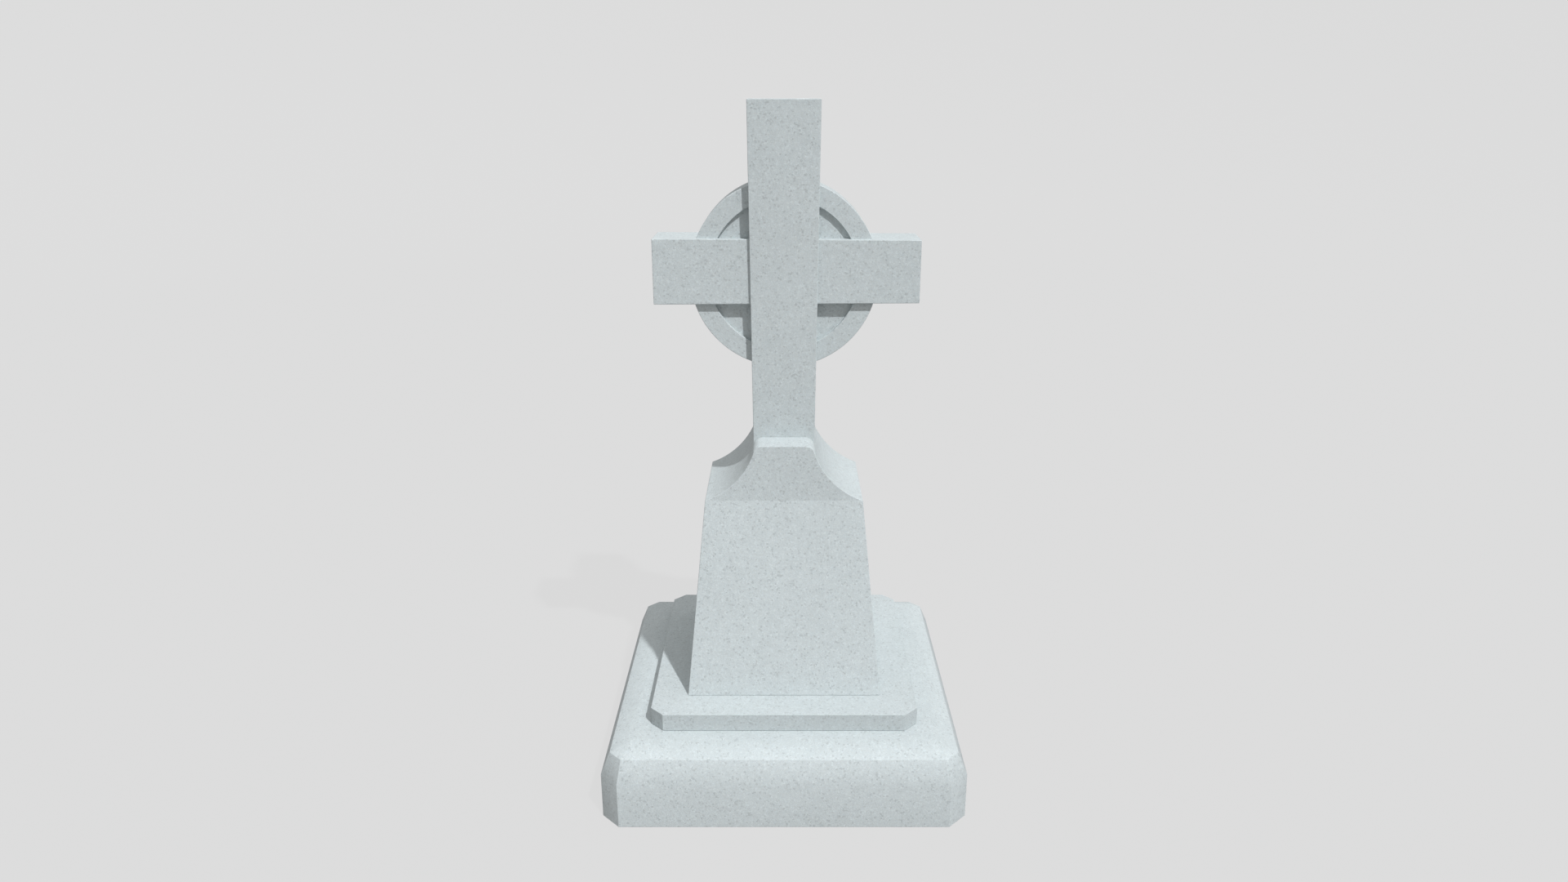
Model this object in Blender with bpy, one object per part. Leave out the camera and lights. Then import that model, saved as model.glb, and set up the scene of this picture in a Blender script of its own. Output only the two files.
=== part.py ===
"""Ringed cross memorial in four stones: base slab, step, scooped pedestal and ringed cross.

Lengths are in metres and +Z is up. The origin is in the middle of the base slab's underside.
The memorial's front looks along -Y, so +X is on the right of someone who stands before it.
The four stones stand on each other by their own weight, with a thin bed joint between them.
"""

import math

import bmesh
import bpy
from mathutils import Vector

# Base slab: an upright face, then a weathered edge of two slopes that meet in a crisp arris
BASE_WIDTH = 0.914
BASE_DEPTH = 0.905
BASE_FACE_HEIGHT = 0.123
BASE_WEATHERING_RADIUS = 0.0795
BASE_CORNER_CUT = 0.0457

# Step: a thin square slab with cut corners
STEP_SIZE = 0.678
STEP_HEIGHT = 0.0466
STEP_CORNER_CUT = 0.033

# Pedestal: a tapered block, then shoulders that are scooped out on the left and the right
PEDESTAL_FOOT_SIZE = 0.4974
PEDESTAL_BODY_HEIGHT = 0.5039
SHOULDER_WIDTH = 0.4011
SHOULDER_DEPTH = 0.3047
SHOULDER_HEIGHT = 0.1451
SCOOP_HOLLOW = 0.0216
SCOOP_TOP_DROP = 0.0125
CROWN_ROUNDING = 0.023

# Shaft: wider and deeper at its head than at its foot, which sits in a slot across the crown
SHAFT_FOOT_WIDTH = 0.1564
SHAFT_FOOT_DEPTH = 0.1486
SHAFT_HEAD_WIDTH = 0.1753
SHAFT_HEAD_DEPTH = 0.1673
SHAFT_HEIGHT_OVER_CROWN = 0.8261
SHAFT_OVERHANG = 0.0032

# Arms: one bar through the shaft, a little taller at its left end than at its right
ARM_HEIGHT_OVER_CROWN = 0.4219
ARM_LEFT_REACH = 0.3220
ARM_RIGHT_REACH = 0.3347
ARM_LEFT_END_HEIGHT = 0.1608
ARM_RIGHT_END_HEIGHT = 0.1544
ARM_DEPTH = 0.139

# Ring and web: the ring stands back from the arms' faces, and the closed web from the ring's
RING_DROP = 0.0096
RING_OUTER_RADIUS = 0.2325
RING_BAND = 0.0473
RING_SET_BACK = 0.0146
WEB_SET_BACK = 0.0112

# Fineness of the round forms, and the bed joint between two stones
RING_SIDES = 96
SCOOP_STEPS = 14
ROUNDING_STEPS = 5
BED_JOINT = 0.0003

# Heights that follow from the sizes above
BASE_TOP = BASE_FACE_HEIGHT + BASE_WEATHERING_RADIUS
STEP_FOOT = BASE_TOP + BED_JOINT
STEP_TOP = STEP_FOOT + STEP_HEIGHT
PEDESTAL_FOOT = STEP_TOP + BED_JOINT
CREASE = PEDESTAL_FOOT + PEDESTAL_BODY_HEIGHT
CROWN = CREASE + SHOULDER_HEIGHT
HEAD = CROWN + SHAFT_HEIGHT_OVER_CROWN
ARM_CENTRE = CROWN + ARM_HEIGHT_OVER_CROWN
RING_CENTRE = ARM_CENTRE - RING_DROP

# Pale, slightly blue grey of the dressed stone
STONE_COLOUR = (0.56, 0.615, 0.63, 1.0)
STONE_ROUGHNESS = 0.75

# How far a cut may lie from a vertex and still use it
CUT_TOLERANCE = 0.00001

# Round edges turn less than this from face to face, and real arrises turn more
SMOOTH_ANGLE = math.radians(25)


def clear_scene():
    """Remove every object that the file opened with."""
    for obj in list(bpy.data.objects):
        bpy.data.objects.remove(obj, do_unlink=True)


def stone_material(name):
    """A matt pale stone for one piece."""
    material = bpy.data.materials.new(name)
    material.use_nodes = True
    shader = material.node_tree.nodes["Principled BSDF"]
    shader.inputs["Base Color"].default_value = STONE_COLOUR
    shader.inputs["Roughness"].default_value = STONE_ROUGHNESS
    shader.inputs["Metallic"].default_value = 0.0
    material.diffuse_color = STONE_COLOUR
    return material


def object_from(bm, name):
    """A scene object that holds the bmesh, with its faces pointing out."""
    bmesh.ops.recalc_face_normals(bm, faces=bm.faces)
    mesh = bpy.data.meshes.new(name)
    bm.to_mesh(mesh)
    bm.free()
    obj = bpy.data.objects.new(name, mesh)
    bpy.context.scene.collection.objects.link(obj)
    return obj


def block(size, centre):
    """A bmesh box of the given size around the given centre."""
    bm = bmesh.new()
    bmesh.ops.create_cube(bm, size=1.0)
    bmesh.ops.scale(bm, vec=Vector(size), verts=bm.verts)
    bmesh.ops.translate(bm, vec=Vector(centre), verts=bm.verts)
    return bm


def saw(bm, point, normal):
    """Cut away what lies beyond a plane and close the cut with one face."""
    geometry = bm.verts[:] + bm.edges[:] + bm.faces[:]
    bmesh.ops.bisect_plane(
        bm, geom=geometry, dist=CUT_TOLERANCE, plane_co=point, plane_no=normal, clear_outer=True
    )
    rim = [edge for edge in bm.edges if edge.is_boundary]
    if rim:
        bmesh.ops.contextual_create(bm, geom=rim)


def loft(rings):
    """A closed solid through rings of equally many points, capped at both ends."""
    bm = bmesh.new()
    loops = [[bm.verts.new(point) for point in ring] for ring in rings]
    for low, high in zip(loops, loops[1:]):
        for index in range(len(low)):
            following = (index + 1) % len(low)
            bm.faces.new((low[index], low[following], high[following], high[index]))
    bm.faces.new(loops[0])
    bm.faces.new(loops[-1])
    return bm


def rectangle(width, depth, height):
    """The four corners of a level rectangle around the Z axis."""
    x = width / 2
    y = depth / 2
    return [(-x, -y, height), (x, -y, height), (x, y, height), (-x, y, height)]


def corner_sides(width, depth, cut):
    """Each upright corner face as a point in plan and the direction that it faces."""
    middle_x = (width - cut) / 2
    middle_y = (depth - cut) / 2
    return [
        (Vector((side_x * middle_x, side_y * middle_y, 0)), Vector((side_x, side_y, 0)).normalized())
        for side_x in (-1, 1)
        for side_y in (-1, 1)
    ]


def flat_sides(width, depth):
    """Each of the four flat sides as a point in plan and the direction that it faces."""
    return [
        (Vector((side * width / 2, 0, 0)), Vector((side, 0, 0))) for side in (-1, 1)
    ] + [
        (Vector((0, side * depth / 2, 0)), Vector((0, side, 0))) for side in (-1, 1)
    ]


def weather_edge(bm, point, outward):
    """Saw the two slopes of the weathered edge along one side: a quarter round in two straight cuts."""
    radius = BASE_WEATHERING_RADIUS
    foot = point + Vector((0, 0, BASE_FACE_HEIGHT))
    quarter = math.radians(90)
    half = quarter / 2
    arris = foot - outward * radius * (1 - math.cos(half)) + Vector((0, 0, radius * math.sin(half)))
    lower = outward * math.cos(half / 2) + Vector((0, 0, math.sin(half / 2)))
    upper = outward * math.cos(quarter - half / 2) + Vector((0, 0, math.sin(quarter - half / 2)))
    saw(bm, foot, lower)
    saw(bm, arris, upper)


def base_slab():
    """The ground stone: cut corners and a weathered edge all round."""
    bm = block((BASE_WIDTH, BASE_DEPTH, BASE_TOP), (0, 0, BASE_TOP / 2))
    corners = corner_sides(BASE_WIDTH, BASE_DEPTH, BASE_CORNER_CUT)
    for point, outward in corners:
        saw(bm, point, outward)
    for point, outward in flat_sides(BASE_WIDTH, BASE_DEPTH) + corners:
        weather_edge(bm, point, outward)
    return object_from(bm, "base_slab")


def step_slab():
    """The thin step with its cut corners."""
    bm = block((STEP_SIZE, STEP_SIZE, STEP_HEIGHT), (0, 0, STEP_FOOT + STEP_HEIGHT / 2))
    for point, outward in corner_sides(STEP_SIZE, STEP_SIZE, STEP_CORNER_CUT):
        saw(bm, point, outward)
    return object_from(bm, "step_slab")


def arc(centre_x, centre_z, radius, start, end, steps):
    """Points of an arc in the XZ plane, both ends included."""
    points = []
    for index in range(steps + 1):
        angle = start + (end - start) * index / steps
        points.append((centre_x + radius * math.cos(angle), centre_z + radius * math.sin(angle)))
    return points


def scoop_circle():
    """Centre and radius of the circle that the right shoulder is scooped along."""
    low_x, low_z = SHOULDER_WIDTH / 2, CREASE
    high_x, high_z = SHAFT_FOOT_WIDTH / 2 - SHAFT_OVERHANG, CROWN - SCOOP_TOP_DROP
    chord = math.hypot(low_x - high_x, high_z - low_z)
    radius = (chord ** 2 / 4 + SCOOP_HOLLOW ** 2) / (2 * SCOOP_HOLLOW)
    reach = radius - SCOOP_HOLLOW
    centre_x = (low_x + high_x) / 2 + reach * (high_z - low_z) / chord
    centre_z = (low_z + high_z) / 2 + reach * (low_x - high_x) / chord
    return centre_x, centre_z, radius


def shoulder_side():
    """The right half of the shoulder's outline: the scoop, then a rounding that runs on into the flat top."""
    centre_x, centre_z, radius = scoop_circle()
    rounding_z = CROWN - CROWN_ROUNDING
    rounding_x = centre_x - math.sqrt((radius + CROWN_ROUNDING) ** 2 - (centre_z - rounding_z) ** 2)
    meeting = math.atan2(centre_z - rounding_z, centre_x - rounding_x)
    start = math.atan2(CREASE - centre_z, SHOULDER_WIDTH / 2 - centre_x) % math.tau
    scoop = arc(centre_x, centre_z, radius, start, meeting + math.pi, SCOOP_STEPS)
    rounding = arc(rounding_x, rounding_z, CROWN_ROUNDING, meeting, math.radians(90), ROUNDING_STEPS)
    return scoop + rounding[1:]


def seat_height():
    """Height at which the scoop is just as wide as the shaft's foot."""
    centre_x, centre_z, radius = scoop_circle()
    return centre_z - math.sqrt(radius ** 2 - (centre_x - SHAFT_FOOT_WIDTH / 2) ** 2)


def shaft_depth(height):
    """Depth of the tapered shaft at a height."""
    share = (height - seat_height() - BED_JOINT) / (HEAD - seat_height() - BED_JOINT)
    return SHAFT_FOOT_DEPTH + (SHAFT_HEAD_DEPTH - SHAFT_FOOT_DEPTH) * share


def pedestal():
    """The tapered block with its scooped shoulders, and the slot that holds the shaft's foot."""
    right = shoulder_side()
    outline = right + [(-x, z) for x, z in reversed(right)]
    bm = bmesh.new()
    front = [bm.verts.new((x, -SHOULDER_DEPTH / 2, z)) for x, z in outline]
    back = [bm.verts.new((x, SHOULDER_DEPTH / 2, z)) for x, z in outline]
    foot = [bm.verts.new(point) for point in rectangle(PEDESTAL_FOOT_SIZE, PEDESTAL_FOOT_SIZE, PEDESTAL_FOOT)]
    for index in range(len(outline) - 1):
        bm.faces.new((front[index], front[index + 1], back[index + 1], back[index]))
    bm.faces.new(front)
    bm.faces.new(back)
    bm.faces.new((foot[0], foot[1], front[0], front[-1]))
    bm.faces.new((foot[1], foot[2], back[0], front[0]))
    bm.faces.new((foot[2], foot[3], back[-1], back[0]))
    bm.faces.new((foot[3], foot[0], front[-1], back[-1]))
    bm.faces.new(foot)
    stone = object_from(bm, "pedestal")
    slot_height = 2 * (CROWN - seat_height())
    slot_depth = shaft_depth(CROWN) + 2 * BED_JOINT
    slot = block((SHOULDER_WIDTH, slot_depth, slot_height), (0, 0, seat_height() + slot_height / 2))
    combine(stone, [object_from(slot, "shaft_slot")], "DIFFERENCE")
    return stone


def shaft():
    """The tapered shaft, from its seat in the crown up to its head."""
    foot = rectangle(SHAFT_FOOT_WIDTH, SHAFT_FOOT_DEPTH, seat_height() + BED_JOINT)
    head = rectangle(SHAFT_HEAD_WIDTH, SHAFT_HEAD_DEPTH, HEAD)
    return loft([foot, head])


def arm_bar():
    """Both arms as one bar, between an end face on the left and one on the right."""
    ends = []
    for x, height in ((-ARM_LEFT_REACH, ARM_LEFT_END_HEIGHT), (ARM_RIGHT_REACH, ARM_RIGHT_END_HEIGHT)):
        low = ARM_CENTRE - height / 2
        high = ARM_CENTRE + height / 2
        y = ARM_DEPTH / 2
        ends.append([(x, -y, low), (x, y, low), (x, y, high), (x, -y, high)])
    return loft(ends)


def circle(radius, y):
    """An upright circle around the ring's centre."""
    points = arc(0, RING_CENTRE, radius, 0, math.tau, RING_SIDES)[:-1]
    return [(x, y, z) for x, z in points]


def ring():
    """The ring, with a rectangular section."""
    y = ARM_DEPTH / 2 - RING_SET_BACK
    inner = RING_OUTER_RADIUS - RING_BAND
    loops = [circle(RING_OUTER_RADIUS, -y), circle(RING_OUTER_RADIUS, y), circle(inner, y), circle(inner, -y)]
    bm = bmesh.new()
    rings = [[bm.verts.new(point) for point in loop] for loop in loops]
    for near, far in zip(rings, rings[1:] + rings[:1]):
        for index in range(RING_SIDES):
            following = (index + 1) % RING_SIDES
            bm.faces.new((near[index], near[following], far[following], far[index]))
    return bm


def web():
    """The plain panel that closes the four quadrants inside the ring."""
    y = ARM_DEPTH / 2 - RING_SET_BACK - WEB_SET_BACK
    radius = RING_OUTER_RADIUS - RING_BAND / 2
    return loft([circle(radius, -y), circle(radius, y)])


def combine(stone, others, operation):
    """Join other solids to a stone, or cut them from it, and keep the result as its mesh."""
    for other in others:
        other.hide_render = True
        other.display_type = "WIRE"
        modifier = stone.modifiers.new(other.name, "BOOLEAN")
        modifier.operation = operation
        modifier.solver = "EXACT"
        modifier.object = other
    bpy.context.view_layer.update()
    evaluated = stone.evaluated_get(bpy.context.evaluated_depsgraph_get())
    rough = stone.data
    stone.data = bpy.data.meshes.new_from_object(evaluated)
    stone.modifiers.clear()
    bpy.data.meshes.remove(rough)
    for other in others:
        bpy.data.objects.remove(other, do_unlink=True)


def ringed_cross():
    """Shaft, arms, ring and web, carved from one stone."""
    stone = object_from(shaft(), "ringed_cross")
    others = [
        object_from(arm_bar(), "arm_bar"),
        object_from(ring(), "ring"),
        object_from(web(), "web"),
    ]
    combine(stone, others, "UNION")
    return stone


def finish(stone):
    """Shade the round forms smooth, keep the arrises crisp, and give the stone its material."""
    stone.data.shade_smooth()
    stone.data.set_sharp_from_angle(angle=SMOOTH_ANGLE)
    stone.data.materials.clear()
    stone.data.materials.append(stone_material(stone.name + "_stone"))


clear_scene()
for stone in (base_slab(), step_slab(), pedestal(), ringed_cross()):
    finish(stone)
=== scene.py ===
"""Looks of the ringed cross memorial: four dressed stones, a plain floor, soft light and the camera.

Lengths are in metres. Each dressed stone replaces the frame's solid of the same place and size: it has
the same faces, with worked arrises, finer curves and a procedural stone surface.
"""

import math

import bmesh
import bpy
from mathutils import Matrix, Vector


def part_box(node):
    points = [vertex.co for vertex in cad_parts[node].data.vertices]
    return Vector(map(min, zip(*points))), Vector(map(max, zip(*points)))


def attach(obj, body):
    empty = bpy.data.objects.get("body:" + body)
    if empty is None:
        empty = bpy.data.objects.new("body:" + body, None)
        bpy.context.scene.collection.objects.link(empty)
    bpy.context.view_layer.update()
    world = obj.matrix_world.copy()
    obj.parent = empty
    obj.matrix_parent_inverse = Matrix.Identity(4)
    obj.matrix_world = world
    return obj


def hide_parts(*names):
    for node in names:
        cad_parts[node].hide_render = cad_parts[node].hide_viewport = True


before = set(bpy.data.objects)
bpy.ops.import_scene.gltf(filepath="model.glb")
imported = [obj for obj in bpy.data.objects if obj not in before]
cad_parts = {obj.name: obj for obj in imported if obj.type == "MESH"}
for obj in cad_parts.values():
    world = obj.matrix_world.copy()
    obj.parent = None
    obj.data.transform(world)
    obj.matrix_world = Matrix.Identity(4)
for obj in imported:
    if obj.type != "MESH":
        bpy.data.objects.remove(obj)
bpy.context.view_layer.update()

# Where the frame's four stones stand
BASE_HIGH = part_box("base_slab")[1]
STEP_LOW, STEP_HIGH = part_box("step_slab")
PEDESTAL_LOW, PEDESTAL_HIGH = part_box("pedestal")
CROSS_LOW, CROSS_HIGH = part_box("ringed_cross")

# Base slab: upright face, two slopes that meet in an arris, cut corners. Its shadings are tilts, and
# the row shares divide each face so that its shading can change from foot to top.
BASE_FACE_HEIGHT = 0.123
BASE_WEATHERING_RADIUS = BASE_HIGH.z - BASE_FACE_HEIGHT
BASE_CORNER_CUT = 0.0457
BASE_LEAST_CUT = 0.001
BASE_CREASE_BLEND = 0.03
BASE_CREASE_SHADING = math.radians(8.5)
BASE_BLEND_GAIN = 0.4
BASE_SLOPE_SHADING = math.radians(28)
BASE_TOP_SHADING = math.radians(88)
ROW_SHARES = (0.25, 0.5, 0.75)

# Step: cut corners
STEP_CORNER_CUT = 0.033
STEP_LEAST_CUT = STEP_CORNER_CUT / 2

# How far a cut corner's shading turns off the slab's sides, and off its front and back
CUT_TURN_FROM_SIDE = math.radians(33)
CUT_TURN_FROM_FRONT = math.radians(48)

# The most of a cut corner's width that the rounded turn at each of its ends takes
TURN_SHARE = 0.45

# Pedestal: tapered block under scooped shoulders
CREASE = 0.7536
SHOULDER_WIDTH = 0.4011
SHOULDER_DEPTH = 0.3047
SCOOP_HOLLOW = 0.0216
SCOOP_TOP_DROP = 0.0125
CROWN_ROUNDING = 0.023
SHAFT_OVERHANG = 0.0032

# Shading of the pedestal: the share of its turn that the crown's rounding shows, how far above the
# crease and how much the shoulder's face is shaded as if it leaned back, and the heights at which
# the pedestal is divided for that, as shares of that reach
CROWN_SHADING = 0.68
CREASE_REACH = 0.03
CREASE_SHADING = math.radians(3)
CREASE_ROWS = (0.25, 0.6, 1.0, 1.5, 2.2, 3.2)

# Cross: tapered shaft, tapered arm bar, ring and web
BED_JOINT = 0.0003
SHAFT_FOOT_WIDTH = 0.1564
SHAFT_FOOT_DEPTH = 0.1486
SHAFT_HEAD_WIDTH = 0.1753
SHAFT_HEAD_DEPTH = 0.1673
ARM_CENTRE = 1.3206
ARM_LEFT_END_HEIGHT = 0.1608
ARM_RIGHT_END_HEIGHT = 0.1544
ARM_DEPTH = 0.139
RING_CENTRE = ARM_CENTRE - 0.0096
RING_OUTER_RADIUS = 0.2325
RING_INNER_RADIUS = 0.1852
RING_DEPTH = 0.1098
WEB_DEPTH = 0.0874

# Worked arrises, and the fineness of the round forms
ARRIS = 0.0018
SHARP_ARRIS = 0.0012
ARC_STEPS = 5
TURN_STEPS = 3
SHARP_STEPS = 4
SEAT_STEPS = 2
BLEND_STEPS = 6
RING_SIDES = 240
SCOOP_STEPS = 40
ROUNDING_STEPS = 12

# Edges that turn more than the first angle are worked, and more than the second stay crisp in the
# shading, where only the largest faces count
BEVEL_ANGLE = math.radians(30)
SMOOTH_ANGLE = math.radians(38)
LARGEST_FACES = 100

# Points nearer than this are one, and shading is looked up by a place's first digits
SAME_PLACE = 0.000002
PLACE_DIGITS = 5

# A normal lies along an axis when its part there is over the first number, and across it when its
# part is under the second
ALONG_AXIS = 0.999
ACROSS_AXIS = 0.01

# Camera: level with a standing onlooker's eyes, tipped down, with a wide lens
CAMERA_PLACE = (0.0, -2.6744, 1.7326)
CAMERA_TIP = math.radians(18)
CAMERA_LENS = 24.444
CAMERA_SENSOR = 36.0

# Light: a sun from the right, in front and above, and a studio dome that is dimmest at the horizon
TOWARDS_SUN = Vector((0.645, -1.0, 1.53))
SUN_STRENGTH = 2.74
SUN_ANGLE = math.radians(1.5)
SUN_COLOUR = (1.0, 1.01, 1.025)
DOME_BELOW = 0.59
DOME_HORIZON = 0.33
DOME_ABOVE = 0.91
DOME_TINT_BELOW = (1.0, 0.985, 0.975)
DOME_TINT_ABOVE = (1.0, 1.0, 1.0)

# The powers of the rise by which the dome grows brighter away from the horizon, and the rises,
# from -1 straight below to 1 straight above, at which its light is set
DOME_POWER_BELOW = 0.6
DOME_POWER_ABOVE = 2.0
DOME_RISES = (-1.0, -0.3, 0.0, 0.3, 0.65, 1.0)

# Floor: even and pale, with a wall all round
FLOOR_HUB = 0.5
FLOOR_RADIUS = 9.0
FLOOR_SIDES = 96
SWEEP = 5.0
SWEEP_STEPS = 24
WALL_TOP = 16.0
FLOOR_DIFFUSE = 0.035
FLOOR_GLOW = 0.675

# Stone: two pale colours of crystal, and the number of crystals per metre
STONE_COOL = (0.508, 0.566, 0.584)
STONE_WARM = (0.530, 0.570, 0.570)
COARSE_CRYSTALS = 240.0
FINE_CRYSTALS = 620.0

# Cloudy noises: how many clouds per metre each has, and how many finer levels
CLOUDS = (4.2, 3.0)
MOTTLES = (45.0, 3.0)
SWELLS = (70.0, 2.0)
PITS = (480.0, 4.0)
NOISE_ROUGHNESS = 0.55

# The range that cloudy noise mostly keeps to, and the whole range of a chance number
MID_NOISE = (0.3, 0.7)
WHOLE = (0.0, 1.0)

# How far clouds, mottles and fine crystals lighten and darken the stone, as shares of its colour
CLOUD_TONE = 0.022
MOTTLE_TONE = 0.025
CRYSTAL_TONE = 0.07

# Which coarse crystals are dark flecks or bright ones, and what each makes of the stone's colour
FLECKS = (0.90, 0.93)
FLECK_TONE = 0.84
FLECK_GLOSS = 0.75
BRIGHTS = (0.80, 0.86)
BRIGHT_TONE = 1.07

# Eased arrises: their width, where the mask finds them, and how much lighter they are
WEAR_WIDTH = 0.004
WEAR_SAMPLES = 6
WEAR_MASK = (0.80, 0.99)
WEAR_TONE = 1.06

# Roughness of the crystals, and the stone's bump with the share of each pattern in it
ROUGHNESS = (0.64, 0.80)
BUMP_STRENGTH = 0.5
BUMP_HEIGHT = 0.0012
PIT_BUMP = 0.7
SWELL_BUMP = 1.2
CRYSTAL_BUMP = 0.12

# Each stone's place in the patterns, so that no two look the same, and its shade: a factor on its
# colours that trims how bright the stone renders under this light. It is painted shade on the base,
# the step and the cross, most on the step, against the light bounced onto it, and painted light on
# the pedestal
PATTERN_SHIFT = (1.0, 0.7, 1.3)
STONE_LOOKS = {
    "base_slab": (3.1, 0.985),
    "step_slab": (7.4, 0.955),
    "pedestal": (11.9, 1.015),
    "ringed_cross": (17.3, 0.99),
}


def arc_points(steps, start, end):
    """Angles from start to end, both included, in even steps."""
    return [start + (end - start) * index / steps for index in range(steps + 1)]


def new_object(name, mesh):
    """A scene object for a mesh."""
    obj = bpy.data.objects.new(name, mesh)
    bpy.context.scene.collection.objects.link(obj)
    return obj


def mesh_from(bm, name):
    """A mesh with its faces pointing out, and with points that coincide merged."""
    bmesh.ops.remove_doubles(bm, verts=bm.verts, dist=SAME_PLACE)
    bmesh.ops.recalc_face_normals(bm, faces=bm.faces)
    mesh = bpy.data.meshes.new(name)
    bm.to_mesh(mesh)
    bm.free()
    return mesh


def loft(rings):
    """A bmesh through rings of equally many points, capped at both ends."""
    bm = bmesh.new()
    loops = [[bm.verts.new(point) for point in ring] for ring in rings]
    for low, high in zip(loops, loops[1:]):
        for index in range(len(low)):
            following = (index + 1) % len(low)
            bm.faces.new((low[index], low[following], high[following], high[index]))
    bm.faces.new(loops[0])
    bm.faces.new(loops[-1])
    return bm


def set_normals(obj, rule):
    """Give each face corner the normal that the rule works out from its place, normal and face."""
    mesh = obj.data
    normals = []
    for polygon in mesh.polygons:
        for index in polygon.loop_indices:
            place = mesh.vertices[mesh.loops[index].vertex_index].co
            normals.append(rule(place, Vector(mesh.corner_normals[index].vector), polygon))
    mesh.normals_split_custom_set(normals)


def keep_modifiers(obj):
    """Turn what the object's modifiers make into its mesh."""
    bpy.context.view_layer.update()
    evaluated = obj.evaluated_get(bpy.context.evaluated_depsgraph_get())
    rough = obj.data
    obj.data = bpy.data.meshes.new_from_object(evaluated)
    obj.modifiers.clear()
    bpy.data.meshes.remove(rough)


def weigh_normals(obj):
    """Shade flat faces flat and roundings round, with crisp inner corners."""
    obj.data.shade_smooth()
    obj.data.set_sharp_from_angle(angle=SMOOTH_ANGLE)
    modifier = obj.modifiers.new("face_weights", "WEIGHTED_NORMAL")
    modifier.keep_sharp = True
    modifier.weight = LARGEST_FACES
    keep_modifiers(obj)


def octagon(half_x, half_y, cut, radius, height):
    """Places of a level rectangle with cut corners and rounded turns, and the way each is shaded."""
    sides = [
        (half_x, half_y - cut), (half_x - cut, half_y), (cut - half_x, half_y), (-half_x, half_y - cut),
        (-half_x, cut - half_y), (cut - half_x, -half_y), (half_x - cut, -half_y), (half_x, cut - half_y),
    ]
    eighth = math.radians(45)
    radius = min(radius, TURN_SHARE * cut * math.sqrt(2) / math.tan(eighth / 2))
    points = []
    for index, (x, y) in enumerate(sides):
        quarters = (index + 1) // 2
        flat_direction = quarters * 2 * eighth
        turn = CUT_TURN_FROM_FRONT if quarters % 2 else CUT_TURN_FROM_SIDE
        start = index * eighth
        middle = start + eighth / 2
        reach = radius / math.cos(eighth / 2)
        centre_x = x - reach * math.cos(middle)
        centre_y = y - reach * math.sin(middle)
        for angle in arc_points(TURN_STEPS, start, start + eighth):
            place = (centre_x + radius * math.cos(angle), centre_y + radius * math.sin(angle), height)
            shaded = flat_direction + (angle - flat_direction) * turn / eighth
            points.append((Vector(place), Vector((math.cos(shaded), math.sin(shaded), 0))))
    return points


def octagon_solid(name, half_x, half_y, cut, least_cut, profile):
    """A solid with octagonal levels, from profile points of inset, height and the tilt of the shading."""
    shrink = 2 - math.sqrt(2)
    levels = []
    for inset, height, tilt in profile:
        level_cut = max(cut - shrink * inset, least_cut)
        levels.append((octagon(half_x - inset, half_y - inset, level_cut, ARRIS, height), tilt))
    mesh = mesh_from(loft([[place for place, outward in ring] for ring, tilt in levels]), name)
    mesh.shade_smooth()
    shading = {}
    for ring, tilt in levels:
        upward = Vector((0, 0, math.sin(tilt)))
        for place, outward in ring:
            shading[place.to_tuple(PLACE_DIGITS)] = outward * math.cos(tilt) + upward
    obj = new_object(name, mesh)

    def rule(place, normal, polygon):
        level_face = abs(polygon.normal.z) > ALONG_AXIS
        return polygon.normal.copy() if level_face else shading[place.to_tuple(PLACE_DIGITS)]

    set_normals(obj, rule)
    return obj


def rounded_foot(radius):
    """Profile points of the arris that a slab stands on."""
    return [
        (radius * (1 - math.cos(angle)), radius * (1 + math.sin(angle)), angle)
        for angle in arc_points(TURN_STEPS, math.radians(-90), 0)
    ]


def base_profile():
    """The base slab's edge: upright face, soft crease, lower slope, arris, upper slope."""
    quarter = math.radians(90)
    lower_tilt = quarter / 4
    upper_tilt = quarter * 3 / 4
    radius = BASE_WEATHERING_RADIUS
    arris_inset = radius * (1 - math.cos(quarter / 2))
    arris_height = BASE_FACE_HEIGHT + radius * math.sin(quarter / 2)
    profile = rounded_foot(ARRIS)
    blend = BASE_CREASE_BLEND * math.tan(lower_tilt / 2)
    crease_low = BASE_FACE_HEIGHT - blend
    for share in ROW_SHARES:
        profile.append((0.0, ARRIS + share * (crease_low - ARRIS), share * BASE_CREASE_SHADING))
    for angle in arc_points(BLEND_STEPS, 0, lower_tilt):
        inset = BASE_CREASE_BLEND * (1 - math.cos(angle))
        height = crease_low + BASE_CREASE_BLEND * math.sin(angle)
        profile.append((inset, height, BASE_CREASE_SHADING * (1 + BASE_BLEND_GAIN * angle / lower_tilt)))
    start_inset, start_height, start_tilt = profile[-1]
    trim = SHARP_ARRIS * math.tan(quarter / 4)
    end_inset = arris_inset - trim * math.sin(lower_tilt)
    end_height = arris_height - trim * math.cos(lower_tilt)
    for share in ROW_SHARES:
        profile.append((
            start_inset + share * (end_inset - start_inset),
            start_height + share * (end_height - start_height),
            start_tilt + share * (BASE_SLOPE_SHADING - start_tilt),
        ))
    centre_inset = end_inset + SHARP_ARRIS * math.cos(lower_tilt)
    centre_height = end_height - SHARP_ARRIS * math.sin(lower_tilt)
    for angle in arc_points(SHARP_STEPS, lower_tilt, upper_tilt):
        inset = centre_inset - SHARP_ARRIS * math.cos(angle)
        height = centre_height + SHARP_ARRIS * math.sin(angle)
        profile.append((inset, height, max(angle, BASE_SLOPE_SHADING)))
    start_inset, start_height, start_tilt = profile[-1]
    for share in (*ROW_SHARES, 1.0):
        profile.append((
            start_inset + share * (radius - start_inset),
            start_height + share * (BASE_HIGH.z - start_height),
            start_tilt + share * (BASE_TOP_SHADING - start_tilt),
        ))
    return profile


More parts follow.
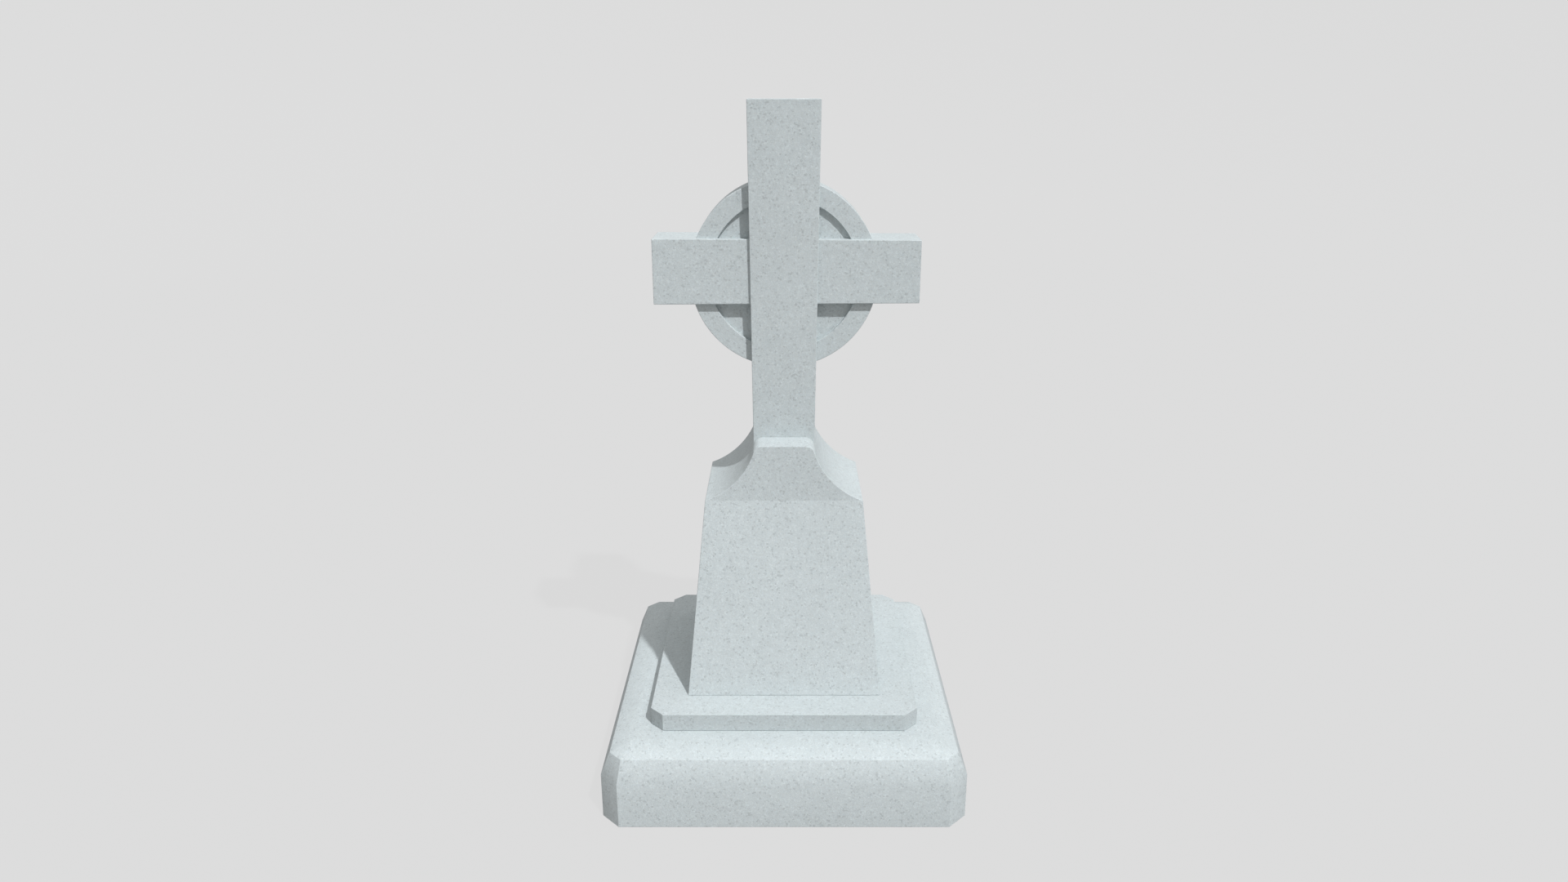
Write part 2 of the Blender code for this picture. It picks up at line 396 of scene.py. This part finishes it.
def step_profile():
    """The step's edge: upright, with a fine arris above and below."""
    profile = [(inset, STEP_LOW.z + height, tilt) for inset, height, tilt in rounded_foot(ARRIS)]
    for angle in arc_points(TURN_STEPS, 0, math.radians(90)):
        inset = ARRIS * (1 - math.cos(angle))
        profile.append((inset, STEP_HIGH.z - ARRIS * (1 - math.sin(angle)), angle))
    return profile


def dress_base():
    """The base slab with its arrises worked and its crease softened."""
    return octagon_solid(
        "base_slab_dressed", BASE_HIGH.x, BASE_HIGH.y, BASE_CORNER_CUT, BASE_LEAST_CUT, base_profile(),
    )


def dress_step():
    """The step with its arrises worked."""
    half = STEP_HIGH.x
    return octagon_solid(
        "step_slab_dressed", half, half, STEP_CORNER_CUT, STEP_LEAST_CUT, step_profile(),
    )


def scoop_circle():
    """Centre and radius of the circle that the right shoulder is scooped along."""
    low_x, low_z = SHOULDER_WIDTH / 2, CREASE
    high_x, high_z = SHAFT_FOOT_WIDTH / 2 - SHAFT_OVERHANG, PEDESTAL_HIGH.z - SCOOP_TOP_DROP
    chord = math.hypot(low_x - high_x, high_z - low_z)
    radius = (chord ** 2 / 4 + SCOOP_HOLLOW ** 2) / (2 * SCOOP_HOLLOW)
    reach = radius - SCOOP_HOLLOW
    centre_x = (low_x + high_x) / 2 + reach * (high_z - low_z) / chord
    centre_z = (low_z + high_z) / 2 + reach * (low_x - high_x) / chord
    return centre_x, centre_z, radius


def seat_height():
    """Height at which the scoop is just as wide as the shaft's foot."""
    centre_x, centre_z, radius = scoop_circle()
    return centre_z - math.sqrt(radius ** 2 - (centre_x - SHAFT_FOOT_WIDTH / 2) ** 2)


def shoulder_side():
    """The right half of the shoulder's outline: up to the shaft's seat, and on to the flat crown."""
    centre_x, centre_z, radius = scoop_circle()
    rounding_z = PEDESTAL_HIGH.z - CROWN_ROUNDING
    rounding_x = centre_x - math.sqrt((radius + CROWN_ROUNDING) ** 2 - (centre_z - rounding_z) ** 2)
    meeting = math.atan2(centre_z - rounding_z, centre_x - rounding_x)
    start = math.atan2(CREASE - centre_z, SHOULDER_WIDTH / 2 - centre_x) % math.tau
    seat = math.atan2(seat_height() - centre_z, SHAFT_FOOT_WIDTH / 2 - centre_x) % math.tau

    def on_scoop(angle):
        return (centre_x + radius * math.cos(angle), centre_z + radius * math.sin(angle))

    below = [on_scoop(angle) for angle in arc_points(SCOOP_STEPS, start, seat)]
    above = [on_scoop(angle) for angle in arc_points(SEAT_STEPS, seat, meeting + math.pi)][1:]
    rounding = [
        (rounding_x + CROWN_ROUNDING * math.cos(angle), rounding_z + CROWN_ROUNDING * math.sin(angle))
        for angle in arc_points(ROUNDING_STEPS, meeting, math.radians(90))
    ][1:]
    return below, above + rounding


def shaft_depth(height):
    """Depth of the tapered shaft at a height."""
    share = (height - CROSS_LOW.z) / (CROSS_HIGH.z - CROSS_LOW.z)
    return SHAFT_FOOT_DEPTH + (SHAFT_HEAD_DEPTH - SHAFT_FOOT_DEPTH) * share


def pedestal_mesh():
    """The tapered block, its scooped shoulders and the slot for the shaft, all as one closed mesh."""
    below, above = shoulder_side()
    right = below + above
    outline = right + [(-x, z) for x, z in reversed(right)]
    count = len(outline)
    last_below = len(below) - 1
    first_below = count - len(below)
    slot = shaft_depth(PEDESTAL_HIGH.z) / 2 + BED_JOINT
    bm = bmesh.new()
    rows = {}
    for y in (-SHOULDER_DEPTH / 2, -slot, slot, SHOULDER_DEPTH / 2):
        rows[y] = [bm.verts.new((x, y, z)) for x, z in outline]
    front, slot_front, slot_back, back = rows.values()
    strips = ((front, slot_front, True), (slot_front, slot_back, False), (slot_back, back, True))
    for near, far, whole in strips:
        for index in range(count - 1):
            if whole or index < last_below or index >= first_below:
                bm.faces.new((near[index], near[index + 1], far[index + 1], far[index]))
    bm.faces.new(front)
    bm.faces.new(back)
    bm.faces.new(slot_front[last_below:first_below + 1])
    bm.faces.new(slot_back[last_below:first_below + 1])
    bm.faces.new((
        slot_front[last_below], slot_back[last_below], slot_back[first_below], slot_front[first_below],
    ))
    low, high = PEDESTAL_LOW, PEDESTAL_HIGH
    foot_corners = ((low.x, low.y), (high.x, low.y), (high.x, high.y), (low.x, high.y))
    foot = [bm.verts.new((x, y, low.z)) for x, y in foot_corners]
    bm.faces.new((foot[0], foot[1], front[0], front[-1]))
    bm.faces.new([foot[1], foot[2], back[0], slot_back[0], slot_front[0], front[0]])
    bm.faces.new((foot[2], foot[3], back[-1], back[0]))
    bm.faces.new([foot[3], foot[0], front[-1], slot_front[-1], slot_back[-1], back[-1]])
    bm.faces.new(foot)
    return mesh_from(bm, "pedestal_dressed")


def score(obj, heights):
    """Divide the upright faces at some heights, so that their shading can change from foot to top."""
    bm = bmesh.new()
    bm.from_mesh(obj.data)
    for height in heights:
        geometry = bm.verts[:] + bm.edges[:] + bm.faces[:]
        level = (0, 0, height)
        bmesh.ops.bisect_plane(bm, geom=geometry, dist=SAME_PLACE, plane_co=level, plane_no=(0, 0, 1))
    bm.to_mesh(obj.data)
    bm.free()


def dress_pedestal():
    """The pedestal with its arrises worked and the crease softened."""
    obj = new_object("pedestal_dressed", pedestal_mesh())
    bevel = obj.modifiers.new("arrises", "BEVEL")
    bevel.width = ARRIS
    bevel.segments = TURN_STEPS
    bevel.limit_method = "ANGLE"
    bevel.angle_limit = BEVEL_ANGLE
    bevel.use_clamp_overlap = True
    keep_modifiers(obj)
    score(obj, [CREASE + CREASE_REACH * row for row in CREASE_ROWS])
    weigh_normals(obj)
    rounding_foot = PEDESTAL_HIGH.z - CROWN_ROUNDING

    def rule(place, normal, polygon):
        if abs(normal.y) < ACROSS_AXIS and normal.z > ACROSS_AXIS and place.z > rounding_foot:
            tilt = CROWN_SHADING * math.atan2(normal.x, normal.z)
            return Vector((math.sin(tilt), 0, math.cos(tilt)))
        if abs(normal.y) < ALONG_AXIS or place.z < CREASE - SAME_PLACE:
            return normal
        tilt = CREASE_SHADING * math.exp(-(place.z - CREASE) / CREASE_REACH)
        return Vector((0, math.copysign(math.cos(tilt), normal.y), math.sin(tilt)))

    set_normals(obj, rule)
    return obj


def rounded_bar(stations, radius, to_place):
    """A bar between two rectangular ends with all its arrises rounded.

    Each station is (along, half_u, half_v, centre_v); to_place turns (along, u, v) into a point.
    """
    (start, *start_size), (end, *end_size) = stations
    rings = []
    for edge, size, direction in ((start, start_size, 1), (end, end_size, -1)):
        half_u, half_v, centre_v = size
        angles = arc_points(ARC_STEPS, 0, math.radians(90))
        for turn in angles if direction == 1 else angles[::-1]:
            along = edge + direction * radius * (1 - math.cos(turn))
            ring_radius = radius * math.sin(turn)
            ring = []
            for corner, (side_u, side_v) in enumerate(((1, 1), (-1, 1), (-1, -1), (1, -1))):
                first = corner * math.radians(90)
                for angle in arc_points(ARC_STEPS, first, first + math.radians(90)):
                    u = side_u * (half_u - radius) + ring_radius * math.cos(angle)
                    v = centre_v + side_v * (half_v - radius) + ring_radius * math.sin(angle)
                    ring.append(to_place(along, u, v))
            rings.append(ring)
    return loft(rings)


def shaft_mesh():
    """The tapered shaft."""
    foot = (CROSS_LOW.z, SHAFT_FOOT_WIDTH / 2, SHAFT_FOOT_DEPTH / 2, 0.0)
    head = (CROSS_HIGH.z, SHAFT_HEAD_WIDTH / 2, SHAFT_HEAD_DEPTH / 2, 0.0)
    return mesh_from(rounded_bar((foot, head), ARRIS, lambda along, u, v: (u, v, along)), "shaft")


def arms_mesh():
    """Both arms, as one tapered bar."""
    left = (CROSS_LOW.x, ARM_DEPTH / 2, ARM_LEFT_END_HEIGHT / 2, ARM_CENTRE)
    right = (CROSS_HIGH.x, ARM_DEPTH / 2, ARM_RIGHT_END_HEIGHT / 2, ARM_CENTRE)
    return mesh_from(rounded_bar((left, right), ARRIS, lambda along, u, v: (along, u, v)), "arms")


def turned_mesh(section, name):
    """A solid turned around the ring's axis from a closed section of (radius, y) points."""
    bm = bmesh.new()
    loops = []
    for angle in arc_points(RING_SIDES, 0, math.tau)[:-1]:
        loops.append([
            bm.verts.new((radius * math.cos(angle), y, RING_CENTRE + radius * math.sin(angle)))
            for radius, y in section
        ])
    for near, far in zip(loops, loops[1:] + loops[:1]):
        for index in range(len(section)):
            following = (index + 1) % len(section)
            bm.faces.new((near[index], near[following], far[following], far[index]))
    return mesh_from(bm, name)


def ring_mesh():
    """The ring, with rounded arrises on both faces."""
    half = RING_DEPTH / 2
    corners = (
        (RING_OUTER_RADIUS - ARRIS, half - ARRIS, 0),
        (RING_INNER_RADIUS + ARRIS, half - ARRIS, 1),
        (RING_INNER_RADIUS + ARRIS, ARRIS - half, 2),
        (RING_OUTER_RADIUS - ARRIS, ARRIS - half, 3),
    )
    section = []
    for radius, y, quarter in corners:
        first = quarter * math.radians(90)
        for angle in arc_points(ARC_STEPS, first, first + math.radians(90)):
            section.append((radius + ARRIS * math.cos(angle), y + ARRIS * math.sin(angle)))
    return turned_mesh(section, "ring")


def web_mesh():
    """The web: a plain disc that reaches into the ring."""
    radius = (RING_OUTER_RADIUS + RING_INNER_RADIUS) / 2
    rings = []
    for y in (-WEB_DEPTH / 2, WEB_DEPTH / 2):
        rings.append([
            (radius * math.cos(angle), y, RING_CENTRE + radius * math.sin(angle))
            for angle in arc_points(RING_SIDES, 0, math.tau)[:-1]
        ])
    return mesh_from(loft(rings), "web")


def dress_cross():
    """Shaft, arms, ring and web joined into one carved stone."""
    obj = new_object("ringed_cross_dressed", shaft_mesh())
    others = [new_object(mesh.name, mesh) for mesh in (arms_mesh(), ring_mesh(), web_mesh())]
    for other in others:
        modifier = obj.modifiers.new(other.name, "BOOLEAN")
        modifier.operation = "UNION"
        modifier.solver = "EXACT"
        modifier.object = other
    keep_modifiers(obj)
    for other in others:
        bpy.data.objects.remove(other, do_unlink=True)
    weigh_normals(obj)
    return obj


def add_place(tree, seed):
    """Points of the object's own space, shifted so that no two stones share a pattern."""
    place = tree.nodes.new("ShaderNodeTexCoord")
    shift = tree.nodes.new("ShaderNodeVectorMath")
    shift.operation = "ADD"
    shift.inputs[1].default_value = [seed * share for share in PATTERN_SHIFT]
    tree.links.new(place.outputs["Object"], shift.inputs[0])
    return shift.outputs[0]


def add_noise(tree, place, pattern):
    """Soft cloudy noise around a half, of one of the patterns at the top."""
    node = tree.nodes.new("ShaderNodeTexNoise")
    node.inputs["Scale"].default_value, node.inputs["Detail"].default_value = pattern
    node.inputs["Roughness"].default_value = NOISE_ROUGHNESS
    tree.links.new(place, node.inputs["Vector"])
    return node.outputs["Fac"]


def add_crystals(tree, place, scale):
    """Crystals packed side by side: two chance numbers from 0 to 1, each the same all over a crystal."""
    node = tree.nodes.new("ShaderNodeTexVoronoi")
    node.inputs["Scale"].default_value = scale
    tree.links.new(place, node.inputs["Vector"])
    split = tree.nodes.new("ShaderNodeSeparateColor")
    tree.links.new(node.outputs["Color"], split.inputs[0])
    return split.outputs["Red"], split.outputs["Green"]


def add_range(tree, value, old, new):
    """The value moved from its old range to a new one, and held inside it."""
    node = tree.nodes.new("ShaderNodeMapRange")
    node.inputs["From Min"].default_value, node.inputs["From Max"].default_value = old
    node.inputs["To Min"].default_value, node.inputs["To Max"].default_value = new
    tree.links.new(value, node.inputs["Value"])
    return node.outputs["Result"]


def add_sum_or_product(tree, operation, values):
    """All the values added or multiplied together."""
    result = values[0]
    for value in values[1:]:
        node = tree.nodes.new("ShaderNodeMath")
        node.operation = operation
        tree.links.new(result, node.inputs[0])
        tree.links.new(value, node.inputs[1])
        result = node.outputs[0]
    return result


def around_one(reach):
    """A range that reaches equally far under and over one."""
    return 1 - reach, 1 + reach


def add_arris_mask(tree):
    """One on open faces, falling where the surface turns over an arris."""
    bevel = tree.nodes.new("ShaderNodeBevel")
    bevel.samples = WEAR_SAMPLES
    bevel.inputs["Radius"].default_value = WEAR_WIDTH
    geometry = tree.nodes.new("ShaderNodeNewGeometry")
    dot = tree.nodes.new("ShaderNodeVectorMath")
    dot.operation = "DOT_PRODUCT"
    tree.links.new(bevel.outputs["Normal"], dot.inputs[0])
    tree.links.new(geometry.outputs["Normal"], dot.inputs[1])
    return dot.outputs["Value"]


def add_colour(tree, cool, warm, share, tone):
    """A mix of two stone colours, lightened or darkened by the tone."""
    mix = tree.nodes.new("ShaderNodeMix")
    mix.data_type = "RGBA"
    mix.inputs["A"].default_value = (*cool, 1.0)
    mix.inputs["B"].default_value = (*warm, 1.0)
    tree.links.new(share, mix.inputs["Factor"])
    scale = tree.nodes.new("ShaderNodeVectorMath")
    scale.operation = "SCALE"
    tree.links.new(mix.outputs["Result"], scale.inputs[0])
    tree.links.new(tone, scale.inputs["Scale"])
    return scale.outputs[0]


def stone_material(name, seed, shade):
    """Pale fine granite, rubbed smooth: packed crystals, dark flecks, faint clouds, eased arrises."""
    material = bpy.data.materials.new(name)
    material.use_nodes = True
    tree = material.node_tree
    shader = tree.nodes["Principled BSDF"]
    place = add_place(tree, seed)
    coarse_one, coarse_two = add_crystals(tree, place, COARSE_CRYSTALS)
    fine_one, fine_two = add_crystals(tree, place, FINE_CRYSTALS)
    wear = add_range(tree, add_arris_mask(tree), WEAR_MASK, (WEAR_TONE, 1.0))
    tone = add_sum_or_product(tree, "MULTIPLY", [
        add_range(tree, add_noise(tree, place, CLOUDS), MID_NOISE, around_one(CLOUD_TONE)),
        add_range(tree, add_noise(tree, place, MOTTLES), MID_NOISE, around_one(MOTTLE_TONE)),
        add_range(tree, coarse_one, FLECKS, (1.0, FLECK_TONE)),
        add_range(tree, coarse_two, BRIGHTS, (1.0, BRIGHT_TONE)),
        add_range(tree, fine_one, WHOLE, around_one(CRYSTAL_TONE)),
        wear,
    ])
    # The stone's shade factor scales both colours: painted shade where it is under one, painted light
    # where it is over one
    cool = [channel * shade for channel in STONE_COOL]
    warm = [channel * shade for channel in STONE_WARM]
    tree.links.new(add_colour(tree, cool, warm, fine_two, tone), shader.inputs["Base Color"])

    roughness = add_sum_or_product(tree, "MULTIPLY", [
        add_range(tree, fine_two, WHOLE, ROUGHNESS),
        add_range(tree, coarse_one, FLECKS, (1.0, FLECK_GLOSS)),
        wear,
    ])
    tree.links.new(roughness, shader.inputs["Roughness"])

    bump = tree.nodes.new("ShaderNodeBump")
    bump.inputs["Strength"].default_value = BUMP_STRENGTH
    bump.inputs["Distance"].default_value = BUMP_HEIGHT
    height = add_sum_or_product(tree, "ADD", [
        add_range(tree, add_noise(tree, place, PITS), WHOLE, (0.0, PIT_BUMP)),
        add_range(tree, add_noise(tree, place, SWELLS), WHOLE, (0.0, SWELL_BUMP)),
        add_range(tree, fine_one, WHOLE, (0.0, CRYSTAL_BUMP)),
    ])
    tree.links.new(height, bump.inputs["Height"])
    tree.links.new(bump.outputs["Normal"], shader.inputs["Normal"])
    return material


def build_stones():
    """Every dressed stone in place of its solid."""
    stones = {
        "base_slab": dress_base(),
        "step_slab": dress_step(),
        "pedestal": dress_pedestal(),
        "ringed_cross": dress_cross(),
    }
    for node, stone in stones.items():
        seed, shade = STONE_LOOKS[node]
        stone.data.materials.clear()
        stone.data.materials.append(stone_material(node + "_surface", seed, shade))
        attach(stone, "root")
        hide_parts(node)


def floor_material():
    """An even pale floor that shows no more than a trace of shadow."""
    material = bpy.data.materials.new("pale_floor")
    material.use_nodes = True
    shader = material.node_tree.nodes["Principled BSDF"]
    shader.inputs["Base Color"].default_value = (FLOOR_DIFFUSE, FLOOR_DIFFUSE, FLOOR_DIFFUSE, 1.0)
    shader.inputs["Roughness"].default_value = 1.0
    shader.inputs["Specular IOR Level"].default_value = 0.0
    shader.inputs["Emission Color"].default_value = (1.0, 1.0, 1.0, 1.0)
    shader.inputs["Emission Strength"].default_value = FLOOR_GLOW
    return material


def build_floor():
    """A plain pale floor that sweeps up into a wall all round, far behind the camera too."""
    profile = [(FLOOR_HUB, 0.0), (FLOOR_RADIUS, 0.0)]
    for angle in arc_points(SWEEP_STEPS, math.radians(-90), 0)[1:]:
        profile.append((FLOOR_RADIUS + SWEEP * math.cos(angle), SWEEP + SWEEP * math.sin(angle)))
    profile.append((FLOOR_RADIUS + SWEEP, WALL_TOP))
    bm = bmesh.new()
    loops = [
        [bm.verts.new((r * math.cos(angle), r * math.sin(angle), z)) for r, z in profile]
        for angle in arc_points(FLOOR_SIDES, 0, math.tau)[:-1]
    ]
    for near, far in zip(loops, loops[1:] + loops[:1]):
        for index in range(len(profile) - 1):
            bm.faces.new((near[index], near[index + 1], far[index + 1], far[index]))
    bm.faces.new([loop[0] for loop in reversed(loops)])
    mesh = mesh_from(bm, "floor")
    mesh.flip_normals()
    mesh.shade_smooth()
    mesh.materials.append(floor_material())
    floor = new_object("floor", mesh)
    floor.visible_diffuse = False
    floor.visible_glossy = False
    floor.visible_shadow = False


def build_sun():
    """The one lamp: a soft sun."""
    sun = bpy.data.lights.new("sun", "SUN")
    sun.energy = SUN_STRENGTH
    sun.angle = SUN_ANGLE
    sun.color = SUN_COLOUR
    lamp = bpy.data.objects.new("sun", sun)
    lamp.rotation_euler = TOWARDS_SUN.to_track_quat("Z", "Y").to_euler()
    bpy.context.scene.collection.objects.link(lamp)


def dome_colour(rise):
    """The dome's colour at a rise from -1, straight below, to 1, straight above."""
    if rise > 0:
        light = DOME_HORIZON + (DOME_ABOVE - DOME_HORIZON) * rise ** DOME_POWER_ABOVE
        tint = DOME_TINT_ABOVE
    else:
        light = DOME_HORIZON + (DOME_BELOW - DOME_HORIZON) * abs(rise) ** DOME_POWER_BELOW
        tint = DOME_TINT_BELOW
    return [light * channel for channel in tint]


def build_dome():
    """A studio dome, dimmest at the horizon, whose colour changes evenly from one rise to the next."""
    world = bpy.data.worlds.new("studio_dome")
    world.use_nodes = True
    nodes = world.node_tree.nodes
    links = world.node_tree.links
    place = nodes.new("ShaderNodeTexCoord")
    split = nodes.new("ShaderNodeSeparateXYZ")
    height = nodes.new("ShaderNodeMapRange")
    height.inputs["From Min"].default_value = -1.0
    ramp = nodes.new("ShaderNodeValToRGB")
    while len(ramp.color_ramp.elements) < len(DOME_RISES):
        ramp.color_ramp.elements.new(0.5)
    for element, rise in zip(ramp.color_ramp.elements, DOME_RISES):
        element.position = (rise + 1) / 2
        element.color = (*dome_colour(rise), 1.0)
    links.new(place.outputs["Generated"], split.inputs[0])
    links.new(split.outputs["Z"], height.inputs["Value"])
    links.new(height.outputs["Result"], ramp.inputs["Fac"])
    links.new(ramp.outputs["Color"], nodes["Background"].inputs["Color"])
    bpy.context.scene.world = world


def build_camera():
    """The photograph's viewpoint."""
    data = bpy.data.cameras.new("camera")
    data.sensor_width = CAMERA_SENSOR
    data.lens = CAMERA_LENS
    camera = bpy.data.objects.new("camera", data)
    camera.location = CAMERA_PLACE
    camera.rotation_euler = (math.radians(90) - CAMERA_TIP, 0.0, 0.0)
    bpy.context.scene.collection.objects.link(camera)
    bpy.context.scene.camera = camera


build_camera()
build_sun()
build_dome()
build_floor()
build_stones()
bpy.context.scene.view_settings.view_transform = "Standard"
